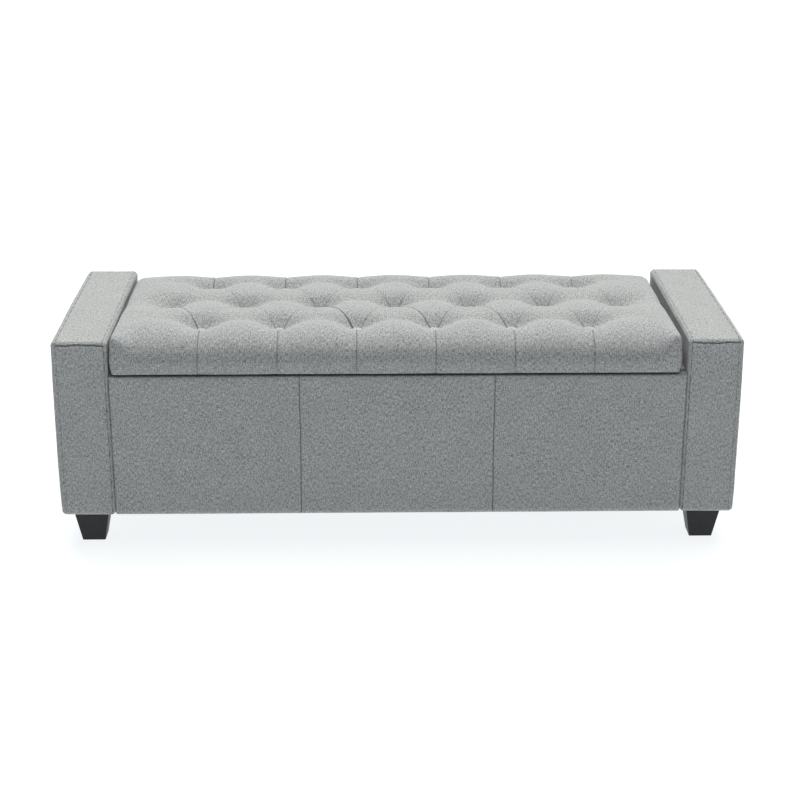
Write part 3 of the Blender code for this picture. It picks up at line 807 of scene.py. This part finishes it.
def make_arm(label, side):
    low, high = node_box("arm_cover_" + label)
    out, inn = (high[0], low[0]) if side > 0 else (low[0], high[0])
    seam_out = out - side * 0.0080
    seam_in = inn + side * SEAM_IN
    front_in = inn + side * 0.0045
    seam_back = high[1] - SEAM_IN
    seam_front = high[2] - 0.0030
    by_seams = ([around(seam_out), around(seam_in), around(front_in)], [around(seam_back)],
                [around(seam_front)])
    mesh = lattice_box("arm_cloth_" + label, *[
        rounded_lines(low[axis], high[axis], ARM_ROUND, 6, ARM_STEP, *by_seams[axis])
        for axis in range(3)])
    points = points_of(mesh)
    placed, normals = round_box(points, low, high, ARM_ROUND)

    top = points[:, 2] > high[2] - 1e-6
    front = points[:, 1] < low[1] + 1e-6
    back = points[:, 1] > high[1] - 1e-6
    wave = 0.0009 * np.sin(points[:, 0] * 75 + side) + 0.0005 * np.sin(points[:, 0] * 190)
    sway = 0.0006 * ripple(points, 0.11, 5)
    between = (points[:, 0] - seam_out) * (points[:, 0] - front_in) < 1e-6
    stitch, upright = [0.6 + 0.4 * np.sin(2 * math.pi * points[:, axis] / STITCH_PITCH)
                       for axis in (1, 2)]
    top_run = top & (points[:, 1] < seam_back + 0.001)
    upright_faces = (front | back) & (points[:, 2] < seam_front)
    # each seam: its pressed fold, and painted shade along its line, dotted by the stitches
    gaps = [
        (top_run, points[:, 0] - seam_out + sway, 0.85 * stitch),
        (top_run, points[:, 0] - seam_in + sway, 0.60 * stitch),
        (top & between, points[:, 1] - seam_back + sway, 0.35),
        (front & between, points[:, 2] - seam_front + wave, 1.0),
        (upright_faces, points[:, 0] - seam_out + sway, 0.35 * upright),
        (upright_faces, points[:, 0] - front_in + sway, 0.85 * upright),
        (back & between, points[:, 2] - seam_front + wave, 0.8),
    ]
    height = np.zeros(len(points))
    shade = np.zeros(len(points))
    for where, gap, strength in gaps:
        height += np.where(where, pressed_line(gap) * (0.4 + 0.6 * strength), 0.0)
        shade = np.maximum(shade, np.where(where, gauss(gap, 0.0011) * strength, 0.0))
    spread = (points - low) / (high - low)
    middle = np.sin(math.pi * np.clip(spread, 0, 1))
    outer = normals[:, 0] * side > 0
    bulge = np.where(outer, ARM_BULGE, ARM_INNER_BULGE) * (middle[:, 1] * middle[:, 2]) ** 0.35
    height += np.abs(normals[:, 0]) * bulge
    height += np.abs(normals[:, 1]) * 0.0012 * (middle[:, 0] * middle[:, 2]) ** 0.6
    height += np.maximum(normals[:, 2], 0) * (0.0032 + 0.0010 * (middle[:, 0] * middle[:, 1]) ** 0.6)
    height += np.where(outer, 0.0, 0.0009) * np.abs(normals[:, 0]) * ripple(points, 0.10, 41 + side)
    height += 0.0005 * ripple(points, 0.16, 11 + side) + 0.00025 * ripple(points, 0.05, 21 + side)
    set_points(mesh, placed + normals * height[:, None])
    # painted shade along the seam lines
    set_painted_seam_shade(mesh, shade * 0.85)
    arm = new_piece("arm_cloth_" + label, mesh, LINEN, "case", "arm_cover_" + label)


for arm_label, arm_side in SIDES:
    make_arm(arm_label, arm_side)


# Front and back of the chest: padded panels sewn from three widths

PANEL_ROUND = 0.004
PANEL_PUFF = 0.0016
RIM_ROUND = 0.0035
FLAP_REACH = 0.038
COVER_THICK = 0.0029
BOARD_GAP = 0.0003


def make_panel(label, facing):
    """The cover follows the CAD's: outer face, fold over the rim and a flap inside."""
    low, high = node_box(label + "_cover")
    board_low, board_high = node_box(label + "_board")
    outer, flap = (low[1], high[1])[::-facing]
    board_out, board_in = (board_low[1], board_high[1])[::-facing]
    third = (high[0] - low[0]) / 3
    seams = (low[0] + third - 0.005, high[0] - third)
    xs = rounded_lines(low[0], high[0], PANEL_ROUND, 5, 0.005, *map(around, seams))
    # the cover's outline in a plane across it, from the outer bottom edge over the rim to the flap
    inward = -facing
    rim_z = high[2] - RIM_ROUND
    outline = [(outer, z) for z in even_lines(low[2], rim_z, 0.005)]
    outline += [(outer + inward * RIM_ROUND * (1 - math.cos(a)), high[2] - RIM_ROUND * (1 - math.sin(a)))
                for a in np.linspace(0.0, math.pi / 2, 7)[1:]]
    depth = abs(flap - outer)
    outline += [(outer + inward * (RIM_ROUND + (depth - 2 * RIM_ROUND) * k / 5), high[2])
                for k in range(1, 6)]
    outline += [(flap - inward * RIM_ROUND * (1 - math.sin(a)), high[2] - RIM_ROUND * (1 - math.cos(a)))
                for a in np.linspace(0.0, math.pi / 2, 6)[1:]]
    flap_low = high[2] - FLAP_REACH
    outline += [(flap, z) for z in np.linspace(rim_z, flap_low, 8)[1:]]
    inner = board_in + inward * BOARD_GAP
    outer_back = board_out - inward * BOARD_GAP
    under_rim = high[2] - COVER_THICK
    outline += [(inner, flap_low), (inner, under_rim), (outer_back, under_rim), (outer_back, low[2])]
    ring = np.array(outline)
    count = len(ring)
    columns = len(xs)
    points = np.zeros((columns, count, 3))
    points[:, :, 0] = xs[:, None]
    points[:, :, 1] = ring[None, :, 0]
    points[:, :, 2] = ring[None, :, 1]
    index = np.arange(columns * count).reshape(columns, count)
    after = np.roll(index, -1, axis=1)
    corners = [index[:-1], index[1:], after[1:], after[:-1]]
    if facing > 0:
        corners.reverse()
    quads = np.stack([corner.ravel() for corner in corners], axis=1)
    flat = points.reshape(-1, 3)
    on_face = np.abs(flat[:, 1] - outer) < 1e-6
    near_face = np.abs(flat[:, 1] - outer) < RIM_ROUND + 1e-6
    shade = np.zeros(len(flat))
    push = np.zeros(len(flat))
    # each seam's pressed fold, and painted shade along its line
    for seam in seams:
        gap = flat[:, 0] - seam + 0.0005 * np.sin(flat[:, 2] * 31 + seam * 9)
        push += pressed_line(gap)
        shade = np.maximum(shade, gauss(gap, 0.0009))
    span = np.mod((flat[:, 0] - low[0]) / third, 1.0)
    rise = np.clip((flat[:, 2] - low[2]) / (high[2] - low[2]), 0, 1)
    push += PANEL_PUFF * (np.sin(math.pi * span) * np.sin(math.pi * (rise * 0.94 + 0.03))) ** 0.5
    push -= set_back(np.minimum(flat[:, 0] - low[0], high[0] - flat[:, 0]), PANEL_ROUND)
    push += 0.0005 * ripple(flat, 0.18, 7) + 0.0002 * ripple(flat, 0.06, 9)
    push -= set_back(flat[:, 2] - low[2], PANEL_ROUND) * on_face
    flat[:, 1] += facing * push * near_face * np.where(on_face, 1.0, 0.5)
    mesh = raw_mesh(label + "_cloth", flat, quads)
    face_outward(mesh, (index[0][::facing], index[-1][::-facing]))
    # painted shade along the seams, on the outer face and rim
    set_painted_seam_shade(mesh, shade * 0.6 * near_face)
    panel = new_piece(label + "_cloth", mesh, LINEN, "case", label + "_cover", sharp=50)


make_panel("front", -1)
make_panel("back", 1)


# End rails, and the looks of the CAD's own boards, feet and hardware

RAIL_ROUND = 0.003


def make_end_rail(label):
    low, high = node_box("end_rail_" + label)
    mesh = lattice_box("end_rail_cloth_" + label, rounded_lines(low[0], high[0], RAIL_ROUND, 3, 0.004),
                       even_lines(low[1], high[1], 0.006),
                       rounded_lines(low[2], high[2], RAIL_ROUND, 3, 0.005))
    placed, normals = round_box(points_of(mesh), low, high, RAIL_ROUND)
    set_points(mesh, placed + normals * (0.0003 * ripple(placed, 0.07, 31))[:, None])
    set_painted_seam_shade(mesh, np.zeros(len(placed)))
    rail = new_piece("end_rail_cloth_" + label, mesh, LINEN, "case", "end_rail_" + label)


for rail_label, _ in SIDES:
    make_end_rail(rail_label)


for node_name, node in NODES.items():
    material = (PLYWOOD if "board" in node_name else FOOT_BLACK if node_name.startswith("foot_")
                else ZINC if node_name.startswith(("hinge_", "stay_")) else None)
    if material:
        node.data.materials.clear()
        node.data.materials.append(material)


# Black cloth: the chest's lining, the cloth under the lid and the dust cover under the chest

CLOTH_THICK = 0.0009
HEM_WIDTH = 0.014
HEM_THICK = 0.0006


def make_storage_lining():
    """An open box of cloth, a little slack on the boards, with its top edge folded and stapled."""
    low, high = node_box("storage_lining")
    hem = high[2] - HEM_WIDTH
    xs = even_lines(low[0], high[0], 0.010)
    ys = even_lines(low[1], high[1], 0.010)
    zs = merged_lines(even_lines(low[2], hem, 0.010), even_lines(hem + 0.0008, high[2], 0.006))
    outer, quads, index = lattice_parts(xs, ys, zs, open_top=True)
    inward = np.zeros_like(outer)
    gaps = np.stack([np.minimum(outer[:, 0] - low[0], high[0] - outer[:, 0]),
                     np.minimum(outer[:, 1] - low[1], high[1] - outer[:, 1]),
                     outer[:, 2] - low[2]], axis=1)
    inward[:, :2] = np.where(gaps[:, :2] < 1e-6, -np.sign(outer[:, :2] - (low[:2] + high[:2]) / 2), 0.0)
    inward[:, 2] = np.where(gaps[:, 2] < 1e-6, 1.0, 0.0)
    from_corner = np.sort(gaps, axis=1)[:, 1]
    slack = 0.0005 + 0.0005 * ripple(outer * (1.0, 1.0, 0.4), 0.045, 51)
    slack += 0.0012 * gauss(from_corner - 0.016, 0.008)
    slack *= smooth(from_corner / 0.020) * smooth((high[2] - outer[:, 2] - HEM_WIDTH) / 0.02)
    for label, side in SIDES:
        plate_low, plate_high = node_box("stay_wall_pin_" + label)
        middle = (plate_low + plate_high) / 2
        away = np.linalg.norm((outer - (side * high[0], middle[1], middle[2])), axis=1)
        slack *= smooth((away - 0.028) / 0.03)
    outer = outer + inward * slack[:, None]
    fold = np.where(outer[:, 2] > hem, HEM_THICK, 0.0)
    inner = outer + inward * (CLOTH_THICK + fold)[:, None]
    top = index[:, :, -1]
    rim = np.concatenate([top[:-1, 0], top[-1, :-1], top[:0:-1, -1], top[0, :0:-1]])
    count = len(outer)
    edge = np.stack([rim, np.roll(rim, -1), np.roll(rim, -1) + count, rim + count], axis=1)
    mesh = raw_mesh("storage_lining_cloth", np.concatenate([outer, inner]),
                    np.concatenate([quads, quads[:, ::-1] + count, edge]))
    face_outward(mesh)
    lining = new_piece("storage_lining_cloth", mesh, LINING, "case", "storage_lining",
                       sharp=40)
    return low, high


def make_flat_cloth(name, low, high, body, node):
    """A stretched cloth with folded edges and a slight ripple."""
    xs, ys = [merged_lines((low[axis], high[axis]), low[axis] + HEM_WIDTH, high[axis] - HEM_WIDTH,
                           even_lines(low[axis], high[axis], 0.010), closest=0.0006) for axis in (0, 1)]
    points, quads, _ = lattice_parts(xs, ys, np.array((low[2], high[2])))
    from_edge = np.minimum(np.minimum(points[:, 0] - low[0], high[0] - points[:, 0]),
                           np.minimum(points[:, 1] - low[1], high[1] - points[:, 1]))
    lift = np.where(from_edge > HEM_WIDTH + 0.0001, 0.0003, 0.0)
    lift = lift + 0.00012 * ripple(points * (1, 1, 0), 0.05, 61)
    points[:, 2] += np.where(points[:, 2] < (low[2] + high[2]) / 2, lift, 0.0)
    cloth = new_piece(name, raw_mesh(name, points, quads), LINING, body, node, sharp=40)


LINING_LOW, LINING_HIGH = make_storage_lining()
make_flat_cloth("lid_lining_cloth", UNDER_LOW, UNDER_HIGH, "lid", "lid_lining")
FLOOR_LOW, FLOOR_HIGH = node_box("floor_board")
DUST_LOW = (FLOOR_LOW[0] + 0.004, LID_LOW[1] + 0.010, FLOOR_LOW[2] - 0.0018)
DUST_HIGH = (FLOOR_HIGH[0] - 0.004, LID_HIGH[1] - 0.010, FLOOR_LOW[2] - 0.0006)
make_flat_cloth("dust_cover_cloth", DUST_LOW, DUST_HIGH, "case", None)


# Small fixings, each set of them one mesh: staples and screw heads

def make_set(name, parts, places, body):
    """One mesh of copies of a shape, (points, quads), at each (place, outward, along)."""
    points, quads = parts
    shapes = [points @ np.stack([along, np.cross(outward, along), outward]) + place
              for place, outward, along in places]
    corners = [quads + len(points) * number for number in range(len(places))]
    mesh = raw_mesh(name, np.concatenate(shapes), np.concatenate(corners))
    new_piece(name, mesh, ZINC, body, sharp=45)


def staple_shape():
    """The crown of a wire staple, bent over at its ends."""
    half = np.array((0.0055, 0.00065, 0.0005))
    points, quads, _ = lattice_parts(even_lines(-half[0], half[0], 0.0011),
                                     even_lines(-half[1], half[1], 0.00045),
                                     even_lines(-half[2], half[2], 0.0004))
    placed, _ = round_box(points, -half, half, 0.00045)
    placed[:, 2] -= 0.0009 * np.clip((np.abs(placed[:, 0]) - 0.0042) / 0.0013, 0, 1) ** 2
    return placed, quads


def screw_shape(radius, height):
    """A domed head with a cross recess, closed beneath."""
    rings = np.concatenate([np.linspace(0.04, 0.86, 14), (0.93, 0.98, 1.0)]) * radius
    steps = 48
    turn = np.linspace(0, 2 * math.pi, steps, endpoint=False)
    points = []
    for r in rings:
        z = height * math.sqrt(max(0.0, 1 - (r / radius) ** 2.6))
        x, y = r * np.cos(turn), r * np.sin(turn)
        arm = np.minimum(np.abs(x), np.abs(y)) < 0.14 * radius
        deep = np.where(arm & (r < 0.62 * radius), height * 0.55, 0.0)
        points.append(np.stack([x, y, z - deep], axis=1))
    points.append(points[-1] * (1, 1, 0) + (0, 0, -0.0002))
    points.append(points[-1] * (0.04, 0.04, 1))
    points = np.concatenate(points)
    loops = len(points) // steps
    index = np.arange(loops * steps).reshape(loops, steps)
    after = np.roll(index, -1, axis=1)
    corners = [index[:-1], index[1:], after[1:], after[:-1]]
    quads = [np.stack([corner.ravel() for corner in corners], axis=1)]
    for ring, flip in ((index[0], False), (index[-1], True)):
        half = steps // 2
        a, b = ring[:half], ring[::-1][:half]
        cap = np.stack([a[:-1], a[1:], b[1:], b[:-1]], axis=1)
        quads.append(cap[:, ::-1] if flip else cap)
    return points, np.concatenate(quads)


def edge_places(low, high, z, inset, pitch, outward=None):
    """Places along a rectangle's four edges: on its flat face, or on its walls, facing in."""
    places = []
    for axis, other in ((0, 1), (1, 0)):
        count = int((high[axis] - low[axis]) / pitch)
        for at in low[axis] + (high[axis] - low[axis]) * (np.arange(count) + 0.5) / count:
            for sign, edge in ((1, low[other]), (-1, high[other])):
                place = np.zeros(3)
                place[axis], place[other], place[2] = at, edge + sign * inset, z
                face = np.eye(3)[other] * sign if outward is None else outward
                places.append((place, face, np.eye(3)[axis]))
    return places


DOWN = (0, 0, -1)
STAPLE = staple_shape()
STAPLE_OFF_WALL = CLOTH_THICK + HEM_THICK + 0.0002
make_set("lining_staples", STAPLE,
         edge_places(LINING_LOW, LINING_HIGH, LINING_HIGH[2] - 0.007, STAPLE_OFF_WALL, 0.075), "case")
make_set("lid_staples", STAPLE,
         edge_places(UNDER_LOW, UNDER_HIGH, UNDER_LOW[2], 0.007, 0.070, DOWN), "lid")
make_set("dust_cover_staples", STAPLE,
         edge_places(DUST_LOW, DUST_HIGH, DUST_LOW[2], 0.007, 0.090, DOWN), "case")


def points_at(name, axis, level):
    """Those points of a CAD node that lie at that level."""
    points = points_of(NODES[name].data)
    return points[np.abs(points[:, axis] - level) < 0.0005]


def make_screws():
    """Screw heads on the hinges' leaves, the stays' wall plates and their brackets on the lid."""
    small = screw_shape(0.0033, 0.0012)
    for label, side in SIDES:
        for body, up in (("case", -1), ("lid", 1)):
            name = "hinge_%s_leaf_%s" % (body, label)
            low, high = node_box(name)
            edge_z = low[2] if up < 0 else high[2]
            face = points_at(name, 2, edge_z)[:, 1].max()
            z = edge_z - up * 0.0070
            places = [(np.array((x, face, z)), (0, 1, 0), (math.cos(t), 0, math.sin(t)))
                      for x, t in ((low[0] + 0.009, 0.3), ((low[0] + high[0]) / 2, 1.1),
                                   (high[0] - 0.009, 0.7))]
            make_set("%s_screws" % name, small, places, body)
        low, high = node_box("stay_wall_pin_" + label)
        face = side * np.abs(points_at("stay_wall_pin_" + label, 2, low[2])[:, 0]).min()
        middle_y = (low[1] + high[1]) / 2
        places = [(np.array((face, middle_y, z)), (-side, 0, 0), (0, math.cos(t), math.sin(t)))
                  for z, t in ((low[2] + 0.0065, 0.2), (high[2] - 0.0065, 0.9))]
        make_set("stay_plate_screws_" + label, small, places, "case")
        low, high = node_box("stay_lid_bracket_" + label)
        inner_x = low[0] if side > 0 else high[0]
        face = points_at("stay_lid_bracket_" + label, 0, inner_x)[:, 2].min()
        places = [(np.array((inner_x + side * 0.0075, y, face)), DOWN, (math.cos(t), math.sin(t), 0))
                  for y, t in ((low[1] + 0.007, 0.5), (high[1] - 0.007, 1.2))]
        make_set("stay_bracket_screws_" + label, small, places, "lid")


make_screws()


# Stage: pale floor, soft studio light and the camera

CAMERA_PLACE = (-0.0589, -3.3449, 1.427)
CAMERA_DOWN = math.radians(20.057)
CAMERA_RIGHT = math.radians(1.137)
CAMERA_ROLL = math.radians(0.095)
CAMERA_LENS = 78.39

# pale near the horizon and dark above, so that the sun gives most of the light from above
SKY_HEIGHTS = (0.16, 0.36)
SKY_LOW = (0.46, 0.50, 0.56, 1.0)
SKY_HIGH = (0.09, 0.10, 0.11, 1.0)
SUN_TOWARD = Vector((0.06, 0.46, 1.0))
SUN_STRENGTH = 5.0
SUN_SPREAD = 58.0
FLOOR_HALF = 40.0


def make_stage():
    look = Look("studio_floor")
    look.surface(Base_Color=(0.18, 0.18, 0.18, 1.0), Roughness=0.9, Specular_IOR_Level=0.1,
                 Emission_Color=(0.955, 0.985, 1.0, 1.0), Emission_Strength=0.90)
    mesh = bpy.data.meshes.new("studio_floor")
    half = FLOOR_HALF
    mesh.from_pydata([(-half, -half, 0), (half, -half, 0), (half, half, 0), (-half, half, 0)], [],
                     [(0, 1, 2, 3)])
    mesh.materials.append(look.material)
    new_object("studio_floor", mesh)


def make_light():
    look = Look("studio", bpy.data.worlds, "Background")
    height = look.add("SeparateXYZ", {0: look.add("TexCoord")}, output=2)
    look.surface(Color=look.mix(ramp(look, height, *SKY_HEIGHTS), SKY_LOW, SKY_HIGH))
    bpy.context.scene.world = look.material
    lamp = bpy.data.lights.new("overhead", "SUN")
    lamp.energy = SUN_STRENGTH
    lamp.angle = math.radians(SUN_SPREAD)
    lamp.color = (1.0, 0.985, 0.962)
    sun = new_object("overhead", lamp)
    sun.location = SUN_TOWARD * 3.0
    sun.rotation_mode = "QUATERNION"
    sun.rotation_quaternion = SUN_TOWARD.to_track_quat("Z", "Y")


def make_camera():
    lens = bpy.data.cameras.new("camera")
    lens.lens = CAMERA_LENS
    lens.sensor_width = 36.0
    lens.dof.use_dof = False
    camera = new_object("camera", lens)
    aim = Matrix.Rotation(-CAMERA_RIGHT, 3, "Z") @ Matrix.Rotation(math.pi / 2 - CAMERA_DOWN, 3, "X")
    aim = aim @ Matrix.Rotation(CAMERA_ROLL, 3, "Z")
    camera.rotation_euler = aim.to_euler()
    camera.location = CAMERA_PLACE
    bpy.context.scene.camera = camera


make_stage()
make_light()
make_camera()
bpy.context.scene.view_settings.view_transform = "Standard"
